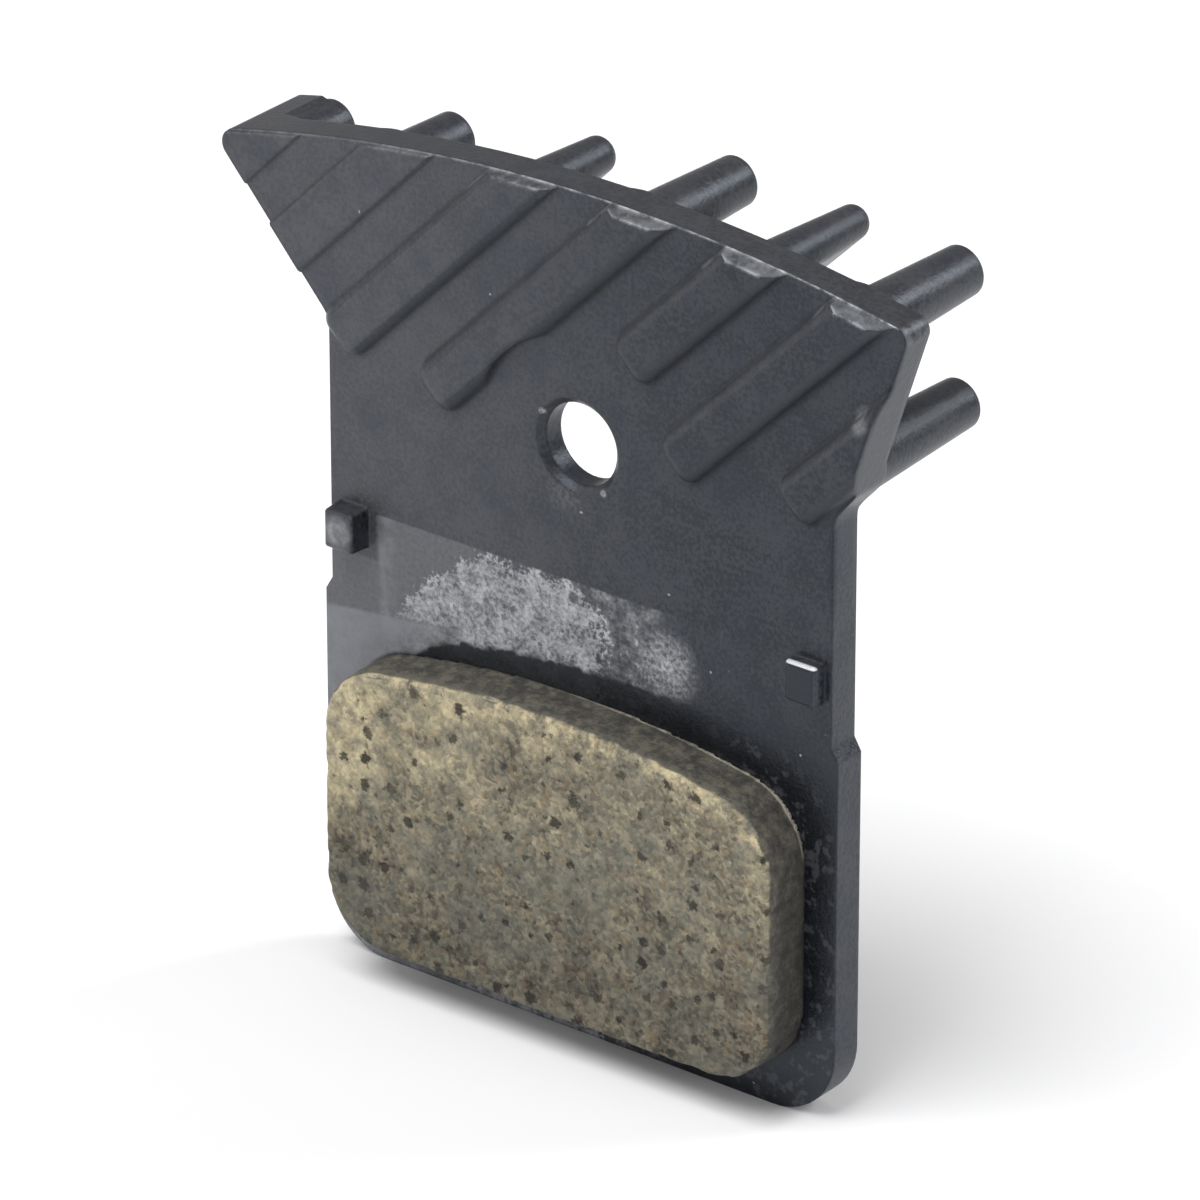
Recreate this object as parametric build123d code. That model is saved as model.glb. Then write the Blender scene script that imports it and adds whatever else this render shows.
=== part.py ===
"""A bicycle disc brake pad: a finned aluminium backing plate and the block of friction compound bonded to it.

The origin is on the axis of the axle hole, at the middle of the plate's thickness. Z points up, the friction
face looks along -Y and the cooling fins stand out along +Y. Lengths are in millimetres and angles in degrees.
"""

import os
from collections import namedtuple
from math import atan2, cos, degrees, radians, sin, sqrt, tan

from build123d import *

# Plate outline, with heights and drops measured from the axle hole
PLATE_THICKNESS = 1.6
LOWER_WIDTH = 27.0
LEDGE_STEP = 0.35
LEDGE_DROP = 10.5
LEDGE_HEIGHT = 0.6
BOTTOM_DROP = 27.4
BOTTOM_CORNER_RADIUS = 3.2
CREST_RISE = 11.5
CREST_RADIUS = 82.0
LEFT_FLARE_RISE = 2.2
LEFT_FLARE_ANGLE = 48.5
RIGHT_FLARE_RISE = 0.55
RIGHT_KNEE_STEP = 1.05
RIGHT_KNEE_ANGLE = 50.0
RIGHT_FLARE_ANGLE = 72.0
FLARE_FILLET = 1.2
LEFT_TIP_RADIUS = 0.7
RIGHT_TIP_RADIUS = 0.6
AXLE_HOLE_DIAMETER = 3.7
AXLE_HOLE_CHAMFER = 0.3

# The slanting rows that the fins behind and the ribs in front share, and how far off row 0 is from the hole
FIN_ANGLE = 45.0
FIN_PITCH = 4.35
FIRST_FIN_OFFSET = 1.02
FIRST_RIB_OFFSET = 1.25

# Ribs on the front face
RIB_WIDTH = 2.5
RIB_HEIGHT = 0.7
RIB_DRAFT = 28.0
RIB_END_RADIUS = 0.8
RIB_HEAD_INSET = 0.08
RIB_HEAD_DRAFT = 27.0
RIB_CHAMFER = 0.25
AXLE_CLEARANCE_RADIUS = 4.9

# Fins and their round pins on the back face
FIN_HEIGHT = 6.2
FIN_ROOT_THICKNESS = 2.2
FIN_DRAFT = 3.0
FIN_EDGE_RADIUS = 0.5
ROOT_BEVEL = 0.45
ROOT_BEVEL_ANGLE = 45.0
PIN_TIP_DIAMETER = 2.25
PIN_DRAFT = 2.0
PIN_TIP_CHAMFER = 0.2
HEAD_INSET = 0.48
CORNER_PIN_CREST_INSET = 1.35
CORNER_PIN_FLARE_INSET = 1.5
CORNER_PIN_HEIGHT = 3.4
CORNER_WEB_STEP = 0.5

# Bosses on the front, and a tab on the left edge
BOSS_SPACING = 23.9
BOSS_DROP = 7.05
BOSS_WIDTH = 1.65
BOSS_LENGTH = 1.9
LEFT_BOSS_HEIGHT = 1.1
RIGHT_BOSS_HEIGHT = 0.65
BOSS_DRAFT = 4.0
BOSS_EDGE_RADIUS = 0.2
TAB_REACH = 0.65
TAB_LENGTH = 2.3
TAB_THICKNESS = 0.8
TAB_DROP = 12.55

# Shallow tooling recesses on the back face
SLOT_SPACING = 22.4
SLOT_DROP = 18.8
SLOT_LENGTH = 4.9
SLOT_WIDTH = 1.75
SLOT_DEPTH = 0.25
ROUND_MARK_SPACING = 18.0
ROUND_MARK_DROP = 3.0
ROUND_MARK_DIAMETER = 4.7
ROUND_MARK_DEPTH = 0.12

# Block of friction compound
PAD_WIDTH = 23.8
PAD_TOP_DROP = 11.4
PAD_TOP_RADIUS = 47.0
PAD_BOTTOM_MARGIN = 1.7
PAD_CORNER_RADIUS = 3.3
PAD_THICKNESS = 2.4
PAD_DRAFT = 1.5
PAD_EDGE_RADIUS = 0.3

HALF_PLATE = PLATE_THICKNESS / 2
HALF_WIDTH = LOWER_WIDTH / 2
UPPER_HALF_WIDTH = HALF_WIDTH - LEDGE_STEP
BEYOND = 2 * BOTTOM_DROP
ROOT_BEVEL_RISE = 2 * ROOT_BEVEL / tan(radians(ROOT_BEVEL_ANGLE))
FRONT_FACE = Plane.XZ.offset(HALF_PLATE)
BACK_FACE = Plane.XZ.offset(-HALF_PLATE)

# In the lists below, places along a row are counted in fin pitches, and heights in shares of the named height

# Ribs run from their foot up to the crest, and a far foot is trimmed by the outline
FAR_FOOT = -BEYOND / FIN_PITCH
Rib = namedtuple("Rib", "row foot height")
RIBS = [
    Rib(4, FAR_FOOT, 0.15),
    Rib(3, FAR_FOOT, 0.20),
    Rib(2, -1.84, 0.55),
    Rib(1, -1.20, 0.75),
    Rib(0, 1.15, 0.80),
    Rib(-1, 0.92, 0.85),
    Rib(-2, 1.88, 1.00),
]

# Fins run from their foot up to the crest, and have a pin at one end
Fin = namedtuple("Fin", "row foot foot_height head_height pin_at_head")
FINS = [
    Fin(3, -1.62, 0.50, 0.65, True),
    Fin(2, -1.40, 0.92, 0.87, False),
    Fin(1, 0.51, 0.94, 1.02, True),
    Fin(0, 1.49, 1.05, 1.11, False),
    Fin(-1, 1.08, 0.95, 1.08, True),
]

# Pins that stand by themselves, some way off the middle of a row
LonePin = namedtuple("LonePin", "row place height")
LONE_PINS = [
    LonePin(1.1, -0.87, 1.06),
    LonePin(-1.94, 2.46, 1.22),
]


def in_row(row, along, first_offset=FIRST_FIN_OFFSET):
    """Place on a slanting row: rows count up to the left, and places along them up to the right."""
    return Rot(0, 0, FIN_ANGLE) * Pos(along, first_offset + row * FIN_PITCH)


def head_of_row(row, end_radius):
    """Place along a row where a rounded end of this radius comes up to the inset under the crest."""
    centre_height = CREST_RISE - CREST_RADIUS
    across = FIRST_FIN_OFFSET + row * FIN_PITCH - centre_height * cos(radians(FIN_ANGLE))
    reach = CREST_RADIUS - HEAD_INSET - end_radius
    return centre_height * sin(radians(FIN_ANGLE)) + sqrt(reach**2 - across**2)


def plate_outline():
    """Outline of the plate, seen from the front, with X to the right and Y up."""
    left_run = (CREST_RISE - LEFT_FLARE_RISE) / tan(radians(LEFT_FLARE_ANGLE))
    knee_x = UPPER_HALF_WIDTH + RIGHT_KNEE_STEP
    knee_rise = RIGHT_FLARE_RISE + RIGHT_KNEE_STEP * tan(radians(RIGHT_KNEE_ANGLE))
    right_run = (CREST_RISE - knee_rise) / tan(radians(RIGHT_FLARE_ANGLE))
    ledge_top = LEDGE_HEIGHT - LEDGE_DROP
    blank = make_face(
        Polyline(
            (-HALF_WIDTH, -BOTTOM_DROP),
            (HALF_WIDTH, -BOTTOM_DROP),
            (HALF_WIDTH, -LEDGE_DROP),
            (UPPER_HALF_WIDTH, ledge_top),
            (UPPER_HALF_WIDTH, RIGHT_FLARE_RISE),
            (knee_x, knee_rise),
            (knee_x + right_run, CREST_RISE),
            (-UPPER_HALF_WIDTH - left_run, CREST_RISE),
            (-UPPER_HALF_WIDTH, LEFT_FLARE_RISE),
            (-UPPER_HALF_WIDTH, ledge_top),
            (-HALF_WIDTH, -LEDGE_DROP),
            close=True,
        )
    )
    outline = blank & Pos(0, CREST_RISE - CREST_RADIUS) * Circle(CREST_RADIUS)
    outline = fillet(outline.vertices().group_by(Axis.Y)[0], BOTTOM_CORNER_RADIUS)
    outline = fillet(outline.vertices().sort_by(Axis.X)[0], LEFT_TIP_RADIUS)
    outline = fillet(outline.vertices().sort_by(Axis.X)[-1], RIGHT_TIP_RADIUS)
    left_root = (-UPPER_HALF_WIDTH, LEFT_FLARE_RISE)
    right_root = (UPPER_HALF_WIDTH, RIGHT_FLARE_RISE)
    for place in (left_root, right_root, (knee_x, knee_rise)):
        corner = outline.vertices().sort_by_distance(place)[0]
        outline = fillet(corner, FLARE_FILLET)
    return outline


def front_rib(rib):
    """A raised strip with sloping sides and head, and bevelled edges, kept clear of the axle's head."""
    foot = rib.foot * FIN_PITCH
    height = rib.height * RIB_HEIGHT
    strip = FRONT_FACE * in_row(rib.row, (foot + BEYOND) / 2, FIRST_RIB_OFFSET)
    strip = strip * RectangleRounded(BEYOND - foot, RIB_WIDTH, RIB_END_RADIUS)
    raised = extrude(strip, height, taper=RIB_DRAFT)
    raised = chamfer(raised.faces().sort_by(Axis.Y)[0].edges(), min(RIB_CHAMFER, height / 2))
    under_crest = FRONT_FACE * Pos(0, CREST_RISE - CREST_RADIUS) * Circle(CREST_RADIUS - RIB_HEAD_INSET)
    raised = raised & extrude(under_crest, height, taper=RIB_HEAD_DRAFT)
    return raised - extrude(FRONT_FACE * Circle(AXLE_CLEARANCE_RADIUS), height)


def pin(place, height):
    """A tapered round pin that stands on the back face, with a bevel round its root."""
    upright = (Align.CENTER, Align.CENTER, Align.MIN)
    draft = tan(radians(PIN_DRAFT))
    tip_radius = PIN_TIP_DIAMETER / 2
    root_radius = tip_radius + height * draft
    body = Cone(root_radius + HALF_PLATE * draft, tip_radius, height + HALF_PLATE, align=upright)
    body = chamfer(body.edges().sort_by(Axis.Z)[-1], PIN_TIP_CHAMFER)
    bevel = Cone(root_radius + ROOT_BEVEL, root_radius - ROOT_BEVEL, ROOT_BEVEL_RISE, align=upright)
    body += Pos(0, 0, HALF_PLATE) * bevel
    return Plane.XZ * place * Rot(180, 0, 0) * body


def fin(spec):
    """A tapered wall on a bevelled root. Its outer edge runs straight, and one of its ends has a pin."""
    root_width = FIN_ROOT_THICKNESS + PLATE_THICKNESS * tan(radians(FIN_DRAFT))
    foot = spec.foot * FIN_PITCH
    foot_height = spec.foot_height * FIN_HEIGHT
    head = head_of_row(spec.row, root_width / 2)
    head_height = spec.head_height * FIN_HEIGHT
    length = head - foot
    middle = in_row(spec.row, (head + foot) / 2)
    strip = Plane.XZ * middle * SlotCenterToCenter(length, root_width)
    wall = extrude(strip, -(HALF_PLATE + max(foot_height, head_height) + FIN_PITCH), taper=FIN_DRAFT)
    edge_start = Plane.XZ * in_row(spec.row, foot) * Pos(0, 0, -(HALF_PLATE + foot_height))
    along = Vector(cos(radians(FIN_ANGLE)), (head_height - foot_height) / length, sin(radians(FIN_ANGLE)))
    across = Vector(sin(radians(FIN_ANGLE)), 0, -cos(radians(FIN_ANGLE)))
    outer_edge = Plane(edge_start.position, x_dir=along, z_dir=across.cross(along))
    wall = split(wall, outer_edge, keep=Keep.TOP)
    wall = fillet(wall.faces().sort_by(Axis.Y)[-1].edges(), FIN_EDGE_RADIUS)
    bevel = BACK_FACE * middle * SlotCenterToCenter(length, FIN_ROOT_THICKNESS + 2 * ROOT_BEVEL)
    wall += extrude(bevel, -ROOT_BEVEL_RISE, taper=ROOT_BEVEL_ANGLE)
    if spec.pin_at_head:
        return wall + pin(in_row(spec.row, head_of_row(spec.row, PIN_TIP_DIAMETER / 2)), head_height)
    return wall + pin(in_row(spec.row, foot), foot_height)


def corner_place(crest_inset, flare_inset):
    """The point in the corner of the crest and the left flare that is this far inside both."""
    flare = radians(LEFT_FLARE_ANGLE)
    along = Vector(-cos(flare), sin(flare))
    start = Vector(-UPPER_HALF_WIDTH + flare_inset / sin(flare), LEFT_FLARE_RISE)
    from_centre = start - Vector(0, CREST_RISE - CREST_RADIUS)
    shift = from_centre.dot(along)
    reach = CREST_RADIUS - crest_inset
    return start + along * (sqrt(shift**2 - from_centre.length**2 + reach**2) - shift)


def corner_post():
    """A pin near the corner of the crest and the left flare, with a lower web that fills the corner's tip."""
    tip = corner_place(0, 0)
    centre = corner_place(CORNER_PIN_CREST_INSET, CORNER_PIN_FLARE_INSET)
    reach = tip - centre
    place = Pos((tip + centre) / 2) * Rot(0, 0, degrees(atan2(reach.Y, reach.X)))
    web = Plane.XZ * place * SlotCenterToCenter(reach.length, PIN_TIP_DIAMETER)
    web_height = CORNER_PIN_HEIGHT - CORNER_WEB_STEP
    return pin(Pos(centre), CORNER_PIN_HEIGHT) + extrude(web, -HALF_PLATE - web_height)


def boss(side, height):
    """A small square boss on the front face."""
    base = FRONT_FACE * Pos(side * BOSS_SPACING / 2, -BOSS_DROP)
    base = base * RectangleRounded(BOSS_WIDTH, BOSS_LENGTH, BOSS_EDGE_RADIUS)
    raised = extrude(base, height, taper=BOSS_DRAFT)
    return fillet(raised.faces().sort_by(Axis.Y)[0].edges(), BOSS_EDGE_RADIUS)


def side_tab():
    """A flat tab on the left edge, level with the back face."""
    width = TAB_REACH + HALF_PLATE
    face = BACK_FACE * Pos(-HALF_WIDTH - TAB_REACH + width / 2, -TAB_DROP) * Rectangle(width, TAB_LENGTH)
    return extrude(face, TAB_THICKNESS)


def back_recess(side):
    """The upright slot and the round mark on one side of the back face."""
    slot = Pos(side * SLOT_SPACING / 2, -SLOT_DROP) * Rot(0, 0, 90) * SlotOverall(SLOT_LENGTH, SLOT_WIDTH)
    mark = Pos(side * ROUND_MARK_SPACING / 2, -ROUND_MARK_DROP) * Circle(ROUND_MARK_DIAMETER / 2)
    return extrude(BACK_FACE * slot, SLOT_DEPTH) + extrude(BACK_FACE * mark, ROUND_MARK_DEPTH)


def backing_plate():
    """A bored slab with its ribs, fins and pins, trimmed to the outline, then finished."""
    section = Rectangle(2 * BEYOND, 2 * BEYOND) - Circle(AXLE_HOLE_DIAMETER / 2)
    slab = extrude(BACK_FACE * section, PLATE_THICKNESS)
    slab = chamfer(slab.edges().filter_by(GeomType.CIRCLE), AXLE_HOLE_CHAMFER)
    for rib in RIBS:
        slab += front_rib(rib)
    for spec in FINS:
        slab += fin(spec)
    for spec in LONE_PINS:
        slab += pin(in_row(spec.row, spec.place * FIN_PITCH), spec.height * FIN_HEIGHT)
    slab += corner_post()
    plate = slab & extrude(Plane.XZ * plate_outline(), BEYOND, both=True)
    plate += side_tab()
    for side, boss_height in ((-1, LEFT_BOSS_HEIGHT), (1, RIGHT_BOSS_HEIGHT)):
        plate += boss(side, boss_height)
        plate -= back_recess(side)
    return plate


def friction_pad():
    """The compound block: straight sides and foot, an arched top, and rounded corners."""
    foot = -BOTTOM_DROP + PAD_BOTTOM_MARGIN
    blank = Pos(0, foot) * Rectangle(PAD_WIDTH, BEYOND, align=(Align.CENTER, Align.MIN))
    outline = blank & Pos(0, -PAD_TOP_DROP - PAD_TOP_RADIUS) * Circle(PAD_TOP_RADIUS)
    outline = fillet(outline.vertices(), PAD_CORNER_RADIUS)
    block = extrude(FRONT_FACE * outline, PAD_THICKNESS, taper=PAD_DRAFT)
    return fillet(block.faces().sort_by(Axis.Y)[0].edges(), PAD_EDGE_RADIUS)


os.makedirs("parts", exist_ok=True)
export_step(backing_plate(), "parts/backing_plate.step")
export_step(friction_pad(), "parts/friction_pad.step")
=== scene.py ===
"""Looks of a bicycle disc brake pad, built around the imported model.

The frame is the model's own: the origin is on the axle hole's axis, Z points up, the friction face looks
along -Y and the cooling fins stand out along +Y. Objects are in metres. Inside the materials, places are in
millimetres, and tones, shares and chances run from 0 to 1.
"""

import math

import bpy
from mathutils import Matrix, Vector, noise


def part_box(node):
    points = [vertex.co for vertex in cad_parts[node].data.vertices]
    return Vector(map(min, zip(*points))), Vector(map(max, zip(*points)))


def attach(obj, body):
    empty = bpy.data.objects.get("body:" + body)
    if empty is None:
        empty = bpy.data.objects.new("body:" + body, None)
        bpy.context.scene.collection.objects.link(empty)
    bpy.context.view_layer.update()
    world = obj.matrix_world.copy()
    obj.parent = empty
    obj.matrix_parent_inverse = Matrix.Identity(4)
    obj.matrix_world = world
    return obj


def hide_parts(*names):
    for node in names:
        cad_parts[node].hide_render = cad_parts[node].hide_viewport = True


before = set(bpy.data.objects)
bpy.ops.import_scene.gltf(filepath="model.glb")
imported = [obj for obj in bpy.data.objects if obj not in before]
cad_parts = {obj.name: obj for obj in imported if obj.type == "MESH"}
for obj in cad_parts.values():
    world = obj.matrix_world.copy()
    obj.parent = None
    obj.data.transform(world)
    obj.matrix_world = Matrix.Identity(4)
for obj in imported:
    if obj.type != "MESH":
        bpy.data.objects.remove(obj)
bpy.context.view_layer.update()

MM = 0.001

# Camera, with its lens in millimetres for a sensor of the default width
CAMERA_PLACE = Vector((0.2158, -0.2779, 0.1659))
CAMERA_AIM = Vector((-0.0002, 0.001, -0.0078))
CAMERA_LENS = 283.0
CAMERA_NEAR = 0.01

# Lamps: a key from above, fills from the right and the left, and a rim lamp from behind; metres and watts
KEY_PLACE = Vector((-0.10, -0.42, 1.10))
KEY_WIDTH = 0.80
KEY_POWER = 10.8
RIGHT_PLACE = Vector((1.15, 0.05, 0.34))
RIGHT_WIDTH = 0.80
RIGHT_POWER = 3.6
LEFT_PLACE = Vector((-1.00, -0.60, 0.50))
LEFT_WIDTH = 1.00
LEFT_POWER = 3.0
RIM_PLACE = Vector((0.61, 0.85, 0.62))
RIM_WIDTH = 0.40
RIM_POWER = 5.5
WORLD_STRENGTH = 0.36
FLOOR_WIDTH = 3.0
FLOOR_ROUGHNESS = 0.9

# Colours as they look on a screen, from 0 to 255
COATING_DARK = (16, 17, 24)
COATING_LIGHT = (45, 45, 49)
# Painted light: the coating's lit colour, laid at the front's left and on faces off the front
COATING_LIT = (81, 80, 83)
# Painted shade: near-black colour laid at the front's lower right, on the right boss's front and along the
# ribs' lower sides
COATING_PAINTED_SHADE = (14, 15, 22)
COATING_BLUE = (30, 35, 50)
COATING_SHEEN = (228, 242, 255)
# Worn metal, also laid as painted light and painted glints on the ribs' sloping ends, the right boss's top
# edge and the crest's point
BARE_METAL_AND_GLINT = (216, 217, 220)
WORN_GREY = (142, 143, 146)
PRIMER_TONES = [
    (0.10, (80, 81, 84)),
    (0.45, (136, 136, 139)),
    (0.90, (180, 180, 182)),
]
PRIMER_DULL = (96, 96, 98)
PRIMER_SMOOTH = (122, 123, 127)
BLACK_BAND = (14, 14, 17)
GRAIN_TONES = [
    (0.05, (46, 41, 32)),
    (0.30, (94, 89, 75)),
    (0.50, (124, 118, 101)),
    (0.70, (154, 145, 121)),
    (0.95, (206, 196, 164)),
]
COMPOUND_BLUE = (106, 109, 102)
COMPOUND_OCHRE = (142, 114, 78)
# Light compound colour, also laid as painted light towards the face's upper left
COMPOUND_PALE_AND_LIT = (206, 191, 152)
# Painted shade of the compound towards its bottom
COMPOUND_PAINTED_SHADE = (74, 70, 60)
COMPOUND_DARK = (17, 14, 10)
SIDE_TONES = [
    (0.20, (34, 33, 31)),
    (0.55, (58, 56, 52)),
    (0.90, (88, 85, 77)),
]
LIP_BRIGHT = (190, 182, 168)
FLOOR_COLOUR = (247, 247, 248)

# Rounding of the plate's edges and depth of the fine relief, in millimetres
EDGE_ROUND = 0.20
RIB_ROUND = 0.50
COATING_RELIEF = 0.01
COMPOUND_RELIEF = 0.06

# Sizes of the random patterns, in millimetres
COATING_MOTTLE = 1.6
COATING_PATCH = 2.4
COATING_GRAIN = 0.20
NICK_SPACING = 2.3
WEAR_PATCH = 0.5
PRIMER_GRAIN = 0.20
PRIMER_PATCH = 0.9
PRIMER_DOT_SPACING = 0.50
BLACK_BAND_WAVE = 0.8
SMUDGE_SIZE = 0.6
GRAIN_SIZE = 0.36
FINE_GRAIN_SIZE = 0.17
COMPOUND_PATCH = 3.0
COMPOUND_MOTTLE = 0.7
BLUISH_PATCH = 2.2
SIDE_GRAIN = 0.18
PIT_SPACING = 1.25
SMALL_PIT_SPACING = 0.45

# Places on the plate, in millimetres; a pair is an X and a Z
AXLE_HOLE = (0.0, 0.0)
CREST_RADIUS = 82.0
WORN_UNDER_CREST = 1.35
LEFT_BOSS = (-11.95, -7.05)
RIGHT_BOSS = (11.95, -7.05)
FLARE_NICK = (14.7, 5.5)
# Place of a painted glint on the crest's point
TIP_GLINT = (16.6, 9.6)
HOLE_NICKS = [(-1.85, 1.1), (1.35, -1.75)]
UNDER_HOLE = (-0.6, -2.4)
PRIMER_TOP = -6.25
PRIMER_FADE = 1.2
PRIMER_LEFT = -10.7
PRIMER_UNDER_BOSS = -8.4
PRIMER_STEP = -9.75
PRIMER_STEP_SLOPE = 0.11
PRIMER_CORNER = -5.2
PRIMER_SLANT = 0.97
PRIMER_SPOT = (4.5, -8.7)
PRIMER_HOLE = (-0.2, -7.0)
BLACK_BAND_WIDTH = 1.2
BLACK_BAND_GROWTH = 0.055
BLACK_BAND_LEFT = -9.0
BLACK_BAND_POINT = 2.2
PAD_CORNER = 3.3
PAD_TOP_RADIUS = 47.0

# Ranges over which a mask rises from 0 to 1, in millimetres: across is along X, up and down are along Z
LIT_ACROSS = (9.0, -13.0)
# Painted shade at the front's lower right spreads over these two ranges
LOWER_ACROSS = (3.0, 9.0)
LOWER_DOWN = (-8.0, -12.5)
RIBS_UP = (-4.5, -3.5)
RIBS_UNDER_CREST = (-0.2, 1.8)
WORN_ACROSS = (-13.0, 1.0)
DULL_ACROSS = (-3.0, -6.0)
STRIP_ACROSS = (-9.4, -10.2)
SMOOTH_ACROSS = (-6.0, -8.5)
SOLID_ACROSS = (3.4, -1.2)
THIN_ACROSS = (6.5, 3.0)
SOLID_PAST_SLANT = (-1.3, 1.1)
FULLER_DOWN = (-7.2, -9.0)
BRIGHT_ACROSS = (-7.6, -5.8)
BRIGHT_OVER_STEP = (-0.1, 0.3)
VEIL_ACROSS = (6.0, 2.5)
VEIL_PAST_SLANT = (0.0, 3.0)
BLACK_BAND_FADE_ACROSS = (3.0, 9.5)
SMUDGES_ACROSS = (6.0, 10.0)
SMUDGES_NEAR_PAD = (2.4, 0.8)
LIP_ACROSS = (-2.0, 3.0)
RIM_IN_PAD = (-1.7, -0.3)
RIM_UP = (-18.0, -13.0)
PALE_TO_CORNER = (-15.0, -3.0)
FOOT_DOWN = (-16.0, -25.0)

# Roughening of the compound's surface, in metres; chips set in where a normal leaves the axes by 1 / onset
BLOCK_WELD = 0.001 * MM
BLOCK_MESH_STEP = 0.15 * MM
BLOCK_GRAIN_SIZE = 0.45 * MM
BLOCK_GRAIN_DEPTH = 0.05 * MM
BLOCK_CHIP_SIZE = 0.7 * MM
BLOCK_CHIP_DEPTH = 0.20 * MM
BLOCK_CHIP_ONSET = 5

plate_low, plate_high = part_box("backing_plate")
pad_low, pad_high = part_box("friction_pad")
crest_top = plate_high.z / MM
plate_front = pad_high.y / MM
pad_half_width = pad_high.x / MM
pad_top = pad_high.z / MM
pad_face = pad_low.y / MM


def linear(colour):
    """A screen colour, from 0 to 255, as the linear colour that a shader takes."""
    shares = [value / 255 for value in colour]
    curve = [share / 12.92 if share <= 0.04045 else ((share + 0.055) / 1.055) ** 2.4 for share in shares]
    return (*curve, 1.0)


class Shader:
    """A material's node tree, built by short calls. Its places are in millimetres."""

    def __init__(self, name):
        self.material = bpy.data.materials.new(name)
        self.material.use_nodes = True
        self.tree = self.material.node_tree
        self.surface = self.tree.nodes["Principled BSDF"]
        where = self.node("TexCoord").outputs["Object"]
        inputs = {"Vector": where, "Scale": 1 / MM}
        self.place = self.node("VectorMath", inputs, operation="SCALE").outputs[0]
        self.x, self.y, self.z = self.node("SeparateXYZ", {"Vector": self.place}).outputs
        self.front = self.node("CombineXYZ", {"X": self.x, "Y": self.z}).outputs[0]
        self.facing = self.node("NewGeometry").outputs["Normal"]
        parts = self.node("SeparateXYZ", {"Vector": self.facing}).outputs
        self.facing_x, self.facing_y, self.facing_z = parts

    def node(self, kind, inputs=None, **settings):
        """A new node with its settings made and its inputs fed."""
        made = self.tree.nodes.new("ShaderNode" + kind)
        for name, value in settings.items():
            setattr(made, name, value)
        for key, value in (inputs or {}).items():
            self.feed(made.inputs[key], value)
        return made

    def feed(self, socket, value):
        """Links another node's output to the socket, or sets the socket to a constant."""
        if isinstance(value, bpy.types.NodeSocket):
            self.tree.links.new(value, socket)
        else:
            socket.default_value = value

    def math(self, operation, *values):
        return self.node("Math", dict(enumerate(values)), operation=operation).outputs[0]

    def add(self, a, *others):
        for other in others:
            a = self.math("ADD", a, other)
        return a

    def less(self, a, b):
        return self.math("SUBTRACT", a, b)

    def times(self, a, *others):
        for other in others:
            a = self.math("MULTIPLY", a, other)
        return a

    def most(self, a, *others):
        for other in others:
            a = self.math("MAXIMUM", a, other)
        return a

    def size(self, value):
        """The value without its sign."""
        return self.math("ABSOLUTE", value)

    def length(self, a, b):
        return self.math("SQRT", self.add(self.times(a, a), self.times(b, b)))

    def ramp(self, value, start, end):
        """0 before start and 1 after end, with a smooth rise between; end may be the lower one."""
        inputs = {"Value": value, "From Min": start, "From Max": end}
        return self.node("MapRange", inputs, interpolation_type="SMOOTHSTEP").outputs[0]

    def below(self, value, limit, soft):
        """1 below the limit and 0 above it, with an edge that is soft by this much on both sides."""
        return self.ramp(value, limit + soft, limit - soft)

    def scale(self, value, low, high):
        """Takes 0 to 1 onto low to high."""
        return self.node("MapRange", {"Value": value, "To Min": low, "To Max": high}).outputs[0]

    def noise(self, size, detail=3.0, roughness=0.65):
        inputs = {"Vector": self.place, "Scale": 1 / size, "Detail": detail, "Roughness": roughness}
        return self.node("TexNoise", inputs).outputs["Fac"]

    def blotches(self, size, detail=3.0, roughness=0.65):
        """Noise that is spread out, so that it reaches 0 and 1 often."""
        return self.ramp(self.noise(size, detail, roughness), 0.3, 0.7)

    def crooked(self, size, reach):
        """The place seen from the front, pushed by up to half the reach, for cells with crooked edges."""
        inputs = {"Vector": self.front, "Scale": 1 / size, "Detail": 2.0}
        push = self.node("TexNoise", inputs).outputs["Color"]
        push = self.node("VectorMath", {0: push, 1: (0.5, 0.5, 0.5)}, operation="SUBTRACT").outputs[0]
        inputs = {0: push, 1: (reach, reach, reach), 2: self.front}
        return self.node("VectorMath", inputs, operation="MULTIPLY_ADD").outputs[0]

    def cells(self, place, size):
        """A random flat net: the distance from a cell's middle, in cells, and two chances of the cell."""
        net = self.node("TexVoronoi", {"Vector": place, "Scale": 1 / size}, voronoi_dimensions="2D")
        first, second, _ = self.node("SeparateXYZ", {"Vector": net.outputs["Color"]}).outputs
        return net.outputs["Distance"], first, second

    def specks(self, place, spacing, share, radius):
        """Spots of different sizes in a share of a net's cells; the largest radius is in cells."""
        distance, chance, size = self.cells(place, spacing)
        edge = self.scale(size, radius * 0.4, radius)
        spot = self.ramp(self.less(distance, edge), 0.15 * radius, -0.35 * radius)
        return self.times(spot, self.math("LESS_THAN", chance, share))

    def spot(self, centre, radius, fade):
        """1 near this X and Z, whatever the depth, and 0 beyond the radius and the fade."""
        inputs = {0: self.front, 1: (*centre, 0.0)}
        gap = self.node("VectorMath", inputs, operation="DISTANCE").outputs["Value"]
        return self.ramp(gap, radius + fade, radius)

    def rounded(self, radius):
        """The surface's normal with its edges rounded off, and a mask that is 1 along those edges."""
        soft = self.node("Bevel", {"Radius": self.times(radius, MM)}, samples=4).outputs[0]
        inputs = {0: soft, 1: self.facing}
        same = self.node("VectorMath", inputs, operation="DOT_PRODUCT").outputs["Value"]
        return soft, self.ramp(same, 0.98, 0.88)

    def tones(self, value, stops):
        """A colour that runs through the stops, each of which is a share and a screen colour."""
        made = self.node("ValToRGB", {"Fac": value})
        elements = made.color_ramp.elements
        for share, _ in stops[1:-1]:
            elements.new(share)
        for element, (share, colour) in zip(elements, stops):
            element.position = share
            element.color = linear(colour)
        return made.outputs["Color"]

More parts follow.
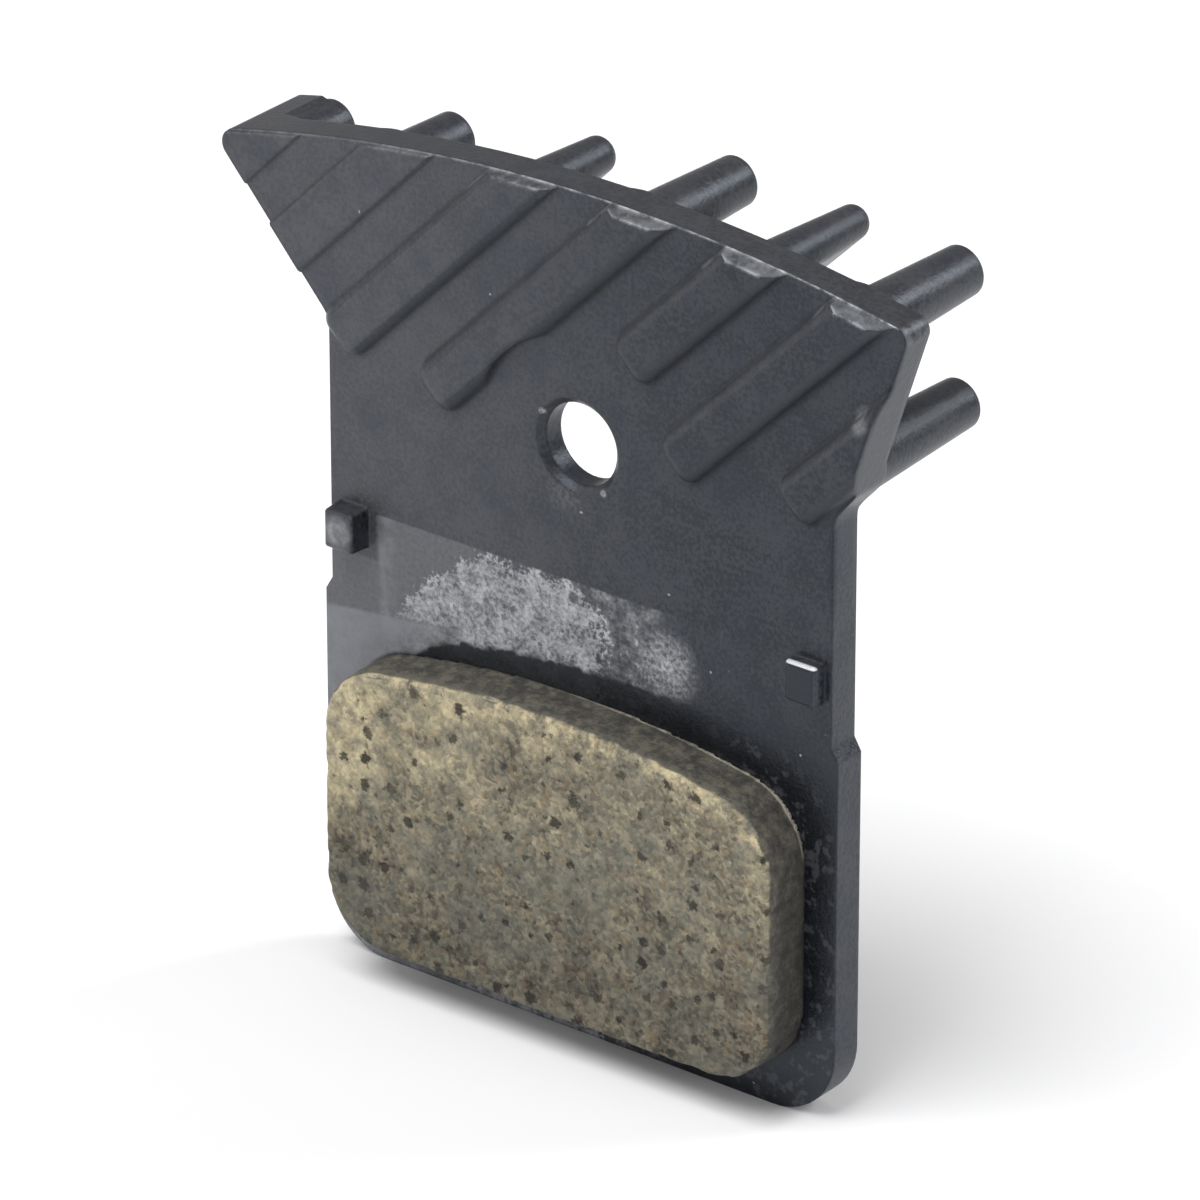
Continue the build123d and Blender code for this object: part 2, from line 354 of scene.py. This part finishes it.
    def mix(self, share, first, second):
        """The first colour where the share is 0 and the second where it is 1."""
        made = self.node("Mix", data_type="RGBA")
        self.feed(made.inputs[0], share)
        for socket, colour in ((made.inputs[6], first), (made.inputs[7], second)):
            self.feed(socket, linear(colour) if isinstance(colour, tuple) else colour)
        return made.outputs[2]

    def finish(self, colour, roughness, height, depth, normal=None, metallic=None):
        """Feeds the surface; height, from 0 to 1, is a relief of that depth in millimetres."""
        relief = self.node("Bump", {"Height": height, "Distance": depth * MM})
        if normal:
            self.feed(relief.inputs["Normal"], normal)
        self.feed(self.surface.inputs["Base Color"], colour)
        self.feed(self.surface.inputs["Roughness"], roughness)
        self.feed(self.surface.inputs["Normal"], relief.outputs[0])
        if metallic:
            self.feed(self.surface.inputs["Metallic"], metallic)
        return self.material


def outside_pad(shader):
    """Distance in millimetres outside the block's sides and arched top; negative within them."""
    across = shader.size(shader.x)
    drop = shader.add(shader.z, PAD_TOP_RADIUS - pad_top)
    arch = shader.add(shader.length(shader.x, drop), -PAD_TOP_RADIUS)
    straight = shader.most(shader.add(across, -pad_half_width), arch)
    corner_x = pad_half_width - PAD_CORNER
    corner_z = pad_top - PAD_TOP_RADIUS + math.sqrt((PAD_TOP_RADIUS - PAD_CORNER) ** 2 - corner_x ** 2)
    over_x = shader.most(shader.add(across, -corner_x), 0.0)
    over_z = shader.most(shader.add(shader.z, -corner_z), 0.0)
    corner = shader.add(shader.length(over_x, over_z), -PAD_CORNER)
    in_corner = shader.math("GREATER_THAN", shader.times(over_x, over_z), 0.0)
    return shader.add(straight, shader.times(in_corner, shader.less(corner, straight)))


def under_crest(shader):
    """Distance in millimetres below the crest's arched top."""
    drop = shader.add(shader.z, CREST_RADIUS - crest_top)
    return shader.less(CREST_RADIUS, shader.length(shader.x, drop))


def coating(shader, on_front, tone):
    """Dark satin coating with bluish patches; painted light at the front's left and on faces off the front,
    painted shade at the front's lower right and on the right boss.
    """
    colour = shader.tones(tone, [(0.30, COATING_DARK), (0.70, COATING_LIGHT)])
    # Painted light: lighter towards the front's left, and on faces off the front except those facing right
    lit = shader.times(on_front, shader.ramp(shader.x, *LIT_ACROSS), shader.scale(tone, 0.42, 0.74))
    painted_light_off_front = shader.times(shader.scale(on_front, 0.24, 0.0), shader.ramp(shader.facing_x, 0.9, 0.5))
    colour = shader.mix(shader.most(lit, painted_light_off_front), colour, COATING_LIT)
    patches = shader.ramp(shader.blotches(COATING_PATCH), 0.5, 1.0)
    colour = shader.mix(shader.times(patches, 0.28), colour, COATING_BLUE)
    # Painted shade: darker at the front's lower right beside the block, and on the right boss's front
    lower = shader.times(on_front, shader.ramp(shader.z, *LOWER_DOWN), shader.ramp(shader.x, *LOWER_ACROSS))
    boss = shader.times(on_front, shader.spot(RIGHT_BOSS, 0.9, 0.4))
    return shader.mix(shader.times(shader.most(lower, boss), 0.85), colour, COATING_PAINTED_SHADE)


def primer(shader, colour, on_front):
    """Grey primer above the block: a dull part, a smooth part below it, and a bright ragged part."""
    x, z = shader.x, shader.z
    fine = shader.blotches(PRIMER_GRAIN, 4.0)
    rough = shader.blotches(PRIMER_PATCH)
    below_top = shader.times(on_front, shader.below(z, PRIMER_TOP, 0.06))

    beside_boss = shader.ramp(x, PRIMER_LEFT - 0.1, PRIMER_LEFT + 0.1)
    under_boss = shader.below(z, PRIMER_UNDER_BOSS, 0.1)
    dull = shader.times(below_top, shader.most(beside_boss, under_boss), shader.ramp(x, *DULL_ACROSS))
    colour = shader.mix(shader.times(dull, shader.scale(fine, 0.55, 0.95)), colour, PRIMER_DULL)
    strip = shader.times(shader.ramp(x, PRIMER_LEFT, PRIMER_LEFT + 0.25), shader.ramp(x, *STRIP_ACROSS))
    colour = shader.mix(shader.times(below_top, strip, shader.scale(rough, 0.0, 0.6)), colour, PRIMER_SMOOTH)

    step = shader.add(shader.times(x, PRIMER_STEP_SLOPE), PRIMER_STEP)
    smooth = shader.below(shader.less(z, step), 0.0, 0.12)
    smooth = shader.times(smooth, on_front, shader.ramp(x, *SMOOTH_ACROSS), shader.scale(rough, 0.7, 1.0))
    colour = shader.mix(smooth, colour, PRIMER_SMOOTH)

    slant = shader.add(x, shader.times(shader.add(z, -PRIMER_TOP), -PRIMER_SLANT), -PRIMER_CORNER)
    solid = shader.times(shader.ramp(x, *SOLID_ACROSS), 0.95)
    thin = shader.times(shader.ramp(x, *THIN_ACROSS), 0.22)
    amount = shader.times(shader.most(solid, thin), shader.ramp(slant, *SOLID_PAST_SLANT))
    from_top = shader.ramp(z, PRIMER_TOP, PRIMER_TOP - PRIMER_FADE)
    amount = shader.times(amount, shader.scale(from_top, 0.45, 1.0))
    amount = shader.add(amount, shader.times(amount, shader.ramp(z, *FULLER_DOWN), 0.35))
    ragged = shader.add(amount, shader.times(fine, 0.42), shader.times(rough, 0.46), -0.44)
    over_step = shader.ramp(shader.less(z, step), *BRIGHT_OVER_STEP)
    above_smooth = shader.most(over_step, shader.ramp(x, *BRIGHT_ACROSS))
    bright = shader.times(below_top, above_smooth, shader.ramp(ragged, 0.34, 0.66))
    cloud = shader.times(shader.spot(PRIMER_SPOT, 0.5, 1.7), shader.scale(fine, 0.6, 1.0))
    veil = shader.times(shader.ramp(x, *VEIL_ACROSS), shader.ramp(slant, *VEIL_PAST_SLANT))
    veil = shader.times(veil, shader.scale(rough, 0.15, 0.5))
    bright = shader.most(bright, shader.times(below_top, shader.most(cloud, veil)))
    dots = shader.specks(shader.crooked(0.15, 0.3), PRIMER_DOT_SPACING, 0.50, 0.30)
    bright = shader.times(bright, shader.scale(dots, 1.0, 0.35))
    bright = shader.times(bright, shader.scale(shader.spot(PRIMER_HOLE, 0.2, 0.15), 1.0, 0.2))
    tone = shader.add(shader.times(fine, 0.55), shader.times(rough, 0.45))
    return shader.mix(bright, colour, shader.tones(tone, PRIMER_TONES)), bright


def black_band_above_block(shader, colour, on_front):
    """Black line above the block, pointed at its left end, and faint smudges at the right."""
    near = outside_pad(shader)
    wave = shader.scale(shader.blotches(BLACK_BAND_WAVE), -0.15, 0.15)
    full = shader.add(shader.times(shader.x, BLACK_BAND_GROWTH), wave, BLACK_BAND_WIDTH)
    reach = shader.times(shader.ramp(shader.x, BLACK_BAND_LEFT, BLACK_BAND_LEFT + BLACK_BAND_POINT), full)
    line = shader.below(shader.less(near, reach), 0.0, 0.12)
    line = shader.times(line, on_front, shader.ramp(shader.z, pad_top - 6.5, pad_top - 3.5))
    line = shader.times(line, shader.scale(shader.ramp(shader.x, *BLACK_BAND_FADE_ACROSS), 0.96, 0.5))
    colour = shader.mix(line, colour, BLACK_BAND)
    beside = shader.times(on_front, shader.ramp(shader.x, *SMUDGES_ACROSS))
    beside = shader.times(beside, shader.ramp(near, *SMUDGES_NEAR_PAD))
    smudges = shader.ramp(shader.blotches(SMUDGE_SIZE, 2.0), 0.6, 1.0)
    return shader.mix(shader.times(beside, smudges, 0.14), colour, WORN_GREY)


def wear_and_painted_glints(shader, on_front, edges, level, depth, fine):
    """Where the coating is worn off: along the crest's front edge and in a few places; the ribs' sloping ends
    and the right boss's top edge are partly worn, partly painted light, and the crest's point gets a painted
    glint.
    """
    x, y = shader.x, shader.y
    to_front = shader.ramp(shader.facing_y, -0.1, -0.3)
    near_crest = shader.ramp(depth, WORN_UNDER_CREST, WORN_UNDER_CREST - 0.15)
    near_crest = shader.times(near_crest, to_front, shader.scale(shader.ramp(x, *WORN_ACROSS), 0.3, 1.0))
    broken = shader.blotches(WEAR_PATCH)
    line = shader.times(near_crest, edges, level, shader.scale(broken, 0.1, 0.95))
    # Painted light, partly wear: the ribs' upward-facing ends near the crest are lightened towards worn metal
    sloping = shader.times(shader.ramp(shader.facing_z, 0.4, 0.6), shader.ramp(shader.facing_y, -0.92, -0.75))
    heads = shader.times(near_crest, sloping, shader.scale(broken, 0.0, 0.15))

    # Partly worn metal, partly a painted glint along the right boss's upward-facing top edge
    boss_edge = shader.times(shader.ramp(shader.facing_z, 0.4, 0.6), shader.spot(RIGHT_BOSS, 1.2, 0.2))
    boss_edge = shader.times(boss_edge, shader.ramp(y, plate_front - 0.38, plate_front - 0.48))
    boss_front = shader.ramp(y, plate_front - 0.9, plate_front - 1.05)
    boss_face = shader.times(boss_front, shader.spot(LEFT_BOSS, 0.3, 0.6), shader.scale(broken, 0.1, 0.35))
    flare = shader.times(to_front, shader.spot(FLARE_NICK, 0.2, 0.5), shader.scale(broken, 0.03, 0.22))
    # Painted glint on the right-facing side of the crest's point
    tip = shader.times(shader.spot(TIP_GLINT, 0.3, 0.4), shader.ramp(shader.facing_x, 0.2, 0.5), broken)
    hole = shader.most(*[shader.spot(place, 0.04, 0.18) for place in HOLE_NICKS])
    hole = shader.times(hole, to_front, shader.scale(fine, 0.15, 0.6))
    dust = shader.times(on_front, shader.spot(UNDER_HOLE, 0.3, 0.9), fine)
    nicks = shader.times(on_front, shader.specks(shader.crooked(0.2, 0.2), NICK_SPACING, 0.10, 0.04))
    return shader.most(
        line,
        heads,
        boss_edge,
        boss_face,
        flare,
        shader.times(tip, 0.12),
        hole,
        shader.times(dust, 0.06),
        shader.times(nicks, 0.4),
    )


def plate_material():
    """The coated plate, with primer and a black line above the block, metal showing where it is worn, and
    painted light, shade and glints.
    """
    shader = Shader("coated_plate")
    depth = under_crest(shader)
    ribs = shader.times(shader.ramp(shader.z, *RIBS_UP), shader.ramp(depth, *RIBS_UNDER_CREST))
    ribs = shader.times(ribs, shader.scale(shader.spot(AXLE_HOLE, 2.3, 0.3), 1.0, 0.0))
    normal, edges = shader.rounded(shader.scale(ribs, EDGE_ROUND, RIB_ROUND))
    sideways, _, upwards = shader.node("SeparateXYZ", {"Vector": normal}).outputs
    on_front = shader.ramp(shader.facing_y, -0.8, -0.95)
    mottle = shader.blotches(COATING_MOTTLE, 4.0)
    fine = shader.blotches(COATING_GRAIN)
    tone = shader.add(shader.times(mottle, 0.40), shader.times(fine, 0.56), 0.02)
    colour = coating(shader, on_front, tone)

    # Painted shade: the ribs' sides that turn down and to the right are darkened
    painted_rib_shade = shader.ramp(shader.less(sideways, upwards), 0.2, 0.9)
    painted_rib_shade = shader.times(painted_rib_shade, ribs, shader.ramp(shader.facing_y, -0.2, -0.4), 0.7)
    colour = shader.mix(painted_rib_shade, colour, COATING_PAINTED_SHADE)
    colour, bright = primer(shader, colour, on_front)
    colour = black_band_above_block(shader, colour, on_front)

    tilt = shader.times(shader.size(upwards), -0.35)
    level = shader.below(shader.add(shader.size(sideways), tilt), 0.0, 0.02)
    level = shader.times(level, shader.ramp(shader.size(shader.facing_x), 0.25, 0.12))
    # Worn metal together with painted light and painted glints
    worn_and_glints = wear_and_painted_glints(shader, on_front, edges, level, depth, fine)
    colour = shader.mix(worn_and_glints, colour, BARE_METAL_AND_GLINT)
    roughness = shader.add(shader.scale(tone, 0.28, 0.42), shader.times(bright, 0.25))
    height = shader.add(shader.times(fine, 0.6), shader.times(mottle, 0.4))
    shader.feed(shader.surface.inputs["Specular Tint"], linear(COATING_SHEEN))
    return shader.finish(colour, roughness, height, COATING_RELIEF, normal, shader.times(worn_and_glints, 0.3))


def compound_side(shader, mottle):
    """Colour of the block's side walls: dark, lighter at the face, with painted light on the top wall and a
    lip at the plate.
    """
    x, y, z = shader.x, shader.y, shader.z
    at_face = shader.ramp(y, plate_front - 1.2, pad_face + 0.2)
    fine = shader.times(shader.blotches(SIDE_GRAIN), 0.25)
    tone = shader.add(shader.times(mottle, 0.5), fine, shader.times(at_face, 0.25))
    # Painted light: the block's top wall is lighter than its other sides
    tone = shader.add(tone, shader.times(shader.ramp(shader.facing_z, 0.3, 0.8), 0.22))
    colour = shader.tones(tone, SIDE_TONES)
    lip = shader.ramp(y, plate_front - 0.22, plate_front - 0.13)
    lip = shader.times(lip, shader.ramp(x, *LIP_ACROSS), shader.ramp(z, pad_top - 4.5, pad_top - 2.5))
    return shader.mix(shader.times(lip, shader.scale(mottle, 0.2, 0.9)), colour, LIP_BRIGHT)


def compound_material():
    """Dry granular compound: crooked grains of tan, cream and olive, near-black pits, and dark side walls;
    lighter at the upper left, partly painted light, with painted shade towards the bottom.
    """
    shader = Shader("friction_compound")
    x, z = shader.x, shader.z
    distance, grain, shade = shader.cells(shader.crooked(0.30, 0.35), GRAIN_SIZE)
    fine_distance, fine_grain, _ = shader.cells(shader.crooked(0.12, 0.15), FINE_GRAIN_SIZE)
    patch = shader.blotches(COMPOUND_PATCH, 3.0, 0.55)
    mottle = shader.blotches(COMPOUND_MOTTLE, 4.0, 0.7)

    blend = shader.add(shader.times(grain, 0.20), shader.times(fine_grain, 0.28), shader.times(mottle, 0.22))
    blend = shader.add(blend, shader.times(patch, 0.10), 0.06)
    # Lighter towards the upper left: partly the compound's own colour, partly painted light
    corner = shader.add(shader.times(x, -0.8), z, shader.scale(patch, -3.5, 3.5))
    rim = shader.times(shader.ramp(outside_pad(shader), *RIM_IN_PAD), shader.ramp(z, *RIM_UP), mottle)
    pale_and_painted_light = shader.most(shader.ramp(corner, *PALE_TO_CORNER), rim)
    # Painted shade: the compound darkens towards the bottom
    dull = shader.ramp(z, *FOOT_DOWN)
    blend = shader.add(blend, shader.times(pale_and_painted_light, 0.24), shader.times(dull, -0.16))
    colour = shader.tones(blend, GRAIN_TONES)
    ochre = shader.times(shader.math("GREATER_THAN", shade, 0.86), shader.ramp(distance, 0.6, 0.3))
    colour = shader.mix(shader.times(ochre, 0.3), colour, COMPOUND_OCHRE)
    bluish = shader.ramp(shader.blotches(BLUISH_PATCH), 0.3, 1.0)
    colour = shader.mix(shader.times(bluish, 0.4), colour, COMPOUND_BLUE)
    colour = shader.mix(shader.times(pale_and_painted_light, shader.scale(mottle, 0.05, 0.75)), colour, COMPOUND_PALE_AND_LIT)
    # Painted shade towards the bottom
    colour = shader.mix(shader.times(dull, 0.2), colour, COMPOUND_PAINTED_SHADE)

    pits = shader.specks(shader.crooked(0.22, 0.6), PIT_SPACING, 0.55, 0.25)
    pits = shader.times(pits, shader.scale(patch, 0.6, 1.0))
    small = shader.specks(shader.crooked(0.2, 0.25), SMALL_PIT_SPACING, 0.12, 0.30)
    dark = shader.most(pits, shader.times(small, 0.55))
    colour = shader.mix(shader.times(dark, 0.92), colour, COMPOUND_DARK)

    side = shader.ramp(shader.facing_y, -0.75, -0.35)
    colour = shader.mix(shader.times(side, 0.95), colour, compound_side(shader, mottle))
    roughness = shader.scale(mottle, 0.75, 0.95)
    grains = shader.add(shader.times(distance, -0.5), shader.times(fine_distance, -0.3))
    grains = shader.add(grains, shader.times(dark, -0.8))
    height = shader.add(shader.times(grains, shader.scale(side, 1.0, 0.0)), shader.times(mottle, 0.3))
    return shader.finish(colour, roughness, height, COMPOUND_RELIEF)


def floor_material():
    """Plain matt floor of one pale colour."""
    shader = Shader("pale_floor")
    shader.surface.inputs["Base Color"].default_value = linear(FLOOR_COLOUR)
    shader.surface.inputs["Roughness"].default_value = FLOOR_ROUGHNESS
    return shader.material


def compound_block(node):
    """The block as an even fine mesh, with grain on its faces and small chips along its edges."""
    source = bpy.data.objects.new("block_source", node.data.copy())
    bpy.context.scene.collection.objects.link(source)
    source.modifiers.new("weld", "WELD").merge_threshold = BLOCK_WELD
    remesh = source.modifiers.new("remesh", "REMESH")
    remesh.mode = "VOXEL"
    remesh.voxel_size = BLOCK_MESH_STEP
    graph = bpy.context.evaluated_depsgraph_get()
    mesh = bpy.data.meshes.new_from_object(source.evaluated_get(graph))
    bpy.data.objects.remove(source)
    mesh.polygons.foreach_set("use_smooth", [True] * len(mesh.polygons))
    normals = [vertex.normal.copy() for vertex in mesh.vertices]
    for vertex, normal in zip(mesh.vertices, normals):
        place = vertex.co.copy()
        if place.y > pad_high.y - BLOCK_MESH_STEP / 2:
            vertex.co.y = pad_high.y
            continue
        edge = 1 - max(abs(normal.x), abs(normal.y), abs(normal.z))
        grain = noise.noise(place / BLOCK_GRAIN_SIZE) * 0.5 + 0.5
        chip = max(0.0, noise.noise(place / BLOCK_CHIP_SIZE)) * min(1.0, edge * BLOCK_CHIP_ONSET)
        vertex.co = place - normal * (grain * BLOCK_GRAIN_DEPTH + chip * BLOCK_CHIP_DEPTH)
    block = bpy.data.objects.new("friction_block", mesh)
    bpy.context.scene.collection.objects.link(block)
    return block


def dress(obj, material):
    """Gives the object this one material."""
    obj.data.materials.clear()
    obj.data.materials.append(material)


def area_lamp(name, place, width, power):
    """A square soft lamp that shines at the object."""
    data = bpy.data.lights.new(name, "AREA")
    data.size = width
    data.energy = power
    lamp = bpy.data.objects.new(name, data)
    lamp.location = place
    lamp.rotation_euler = (CAMERA_AIM - place).to_track_quat("-Z", "Y").to_euler()
    bpy.context.scene.collection.objects.link(lamp)


def studio():
    """Pale floor under the plate's lower edge, a plain pale world, soft lamps and the camera."""
    scene = bpy.context.scene
    half = FLOOR_WIDTH / 2
    mesh = bpy.data.meshes.new("floor")
    corners = [(-half, -half, 0), (half, -half, 0), (half, half, 0), (-half, half, 0)]
    mesh.from_pydata(corners, [], [(0, 1, 2, 3)])
    floor = bpy.data.objects.new("floor", mesh)
    floor.location.z = plate_low.z
    scene.collection.objects.link(floor)
    dress(floor, floor_material())

    world = bpy.data.worlds.new("studio")
    world.use_nodes = True
    background = world.node_tree.nodes["Background"]
    background.inputs["Color"].default_value = (1.0, 1.0, 1.0, 1.0)
    background.inputs["Strength"].default_value = WORLD_STRENGTH
    scene.world = world

    area_lamp("key", KEY_PLACE, KEY_WIDTH, KEY_POWER)
    area_lamp("right", RIGHT_PLACE, RIGHT_WIDTH, RIGHT_POWER)
    area_lamp("left", LEFT_PLACE, LEFT_WIDTH, LEFT_POWER)
    area_lamp("rim", RIM_PLACE, RIM_WIDTH, RIM_POWER)

    data = bpy.data.cameras.new("camera")
    data.lens = CAMERA_LENS
    data.clip_start = CAMERA_NEAR
    camera = bpy.data.objects.new("camera", data)
    camera.location = CAMERA_PLACE
    camera.rotation_euler = (CAMERA_AIM - CAMERA_PLACE).to_track_quat("-Z", "Y").to_euler()
    scene.collection.objects.link(camera)
    scene.camera = camera
    scene.view_settings.view_transform = "Standard"


dress(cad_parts["backing_plate"], plate_material())

block = compound_block(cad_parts["friction_pad"])
dress(block, compound_material())
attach(block, "root")
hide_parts("friction_pad")

studio()
